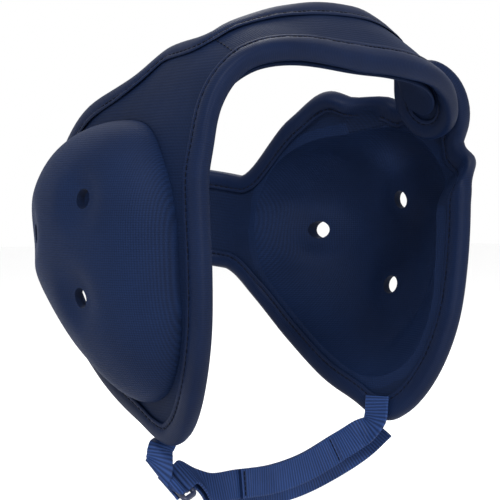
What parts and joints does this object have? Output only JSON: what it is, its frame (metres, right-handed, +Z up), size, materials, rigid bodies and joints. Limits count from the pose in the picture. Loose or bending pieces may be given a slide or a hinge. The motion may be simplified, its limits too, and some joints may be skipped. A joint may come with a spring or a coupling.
{
  "type": "wrestling ear guard",
  "caption": "Padded wrestling ear guard: foam halves with domed, vented ear cups, taped edges, overlapping top and rear arms, and a chin strap of webbing through a ring.",
  "frame": {"origin": "inner face of the padded strip under the top band, at the middle of the head", "axes": "+Z up, -Y the way the wearer faces, +X to the wearer's left"},
  "size_m": [0.2531, 0.2299, 0.2729],
  "materials": {
    "jersey": "matte knit",
    "tape": "soft sheen",
    "hook_tape": "matte",
    "webbing": "ribbed weave",
    "plastic": "satin"
  },
  "bodies": {
    "root": {"side_pad_right": "jersey", "edge_binding_right": "tape", "ear_cup_right": "jersey", "side_pad_left": "jersey", "edge_binding_left": "tape", "ear_cup_left": "jersey", "band_pad": "jersey", "rear_fastener": "hook_tape", "chin_strap": "webbing", "strap_patch": "webbing", "strap_keeper": "webbing", "strap_ring": "plastic"}
  },
  "joints": []
}
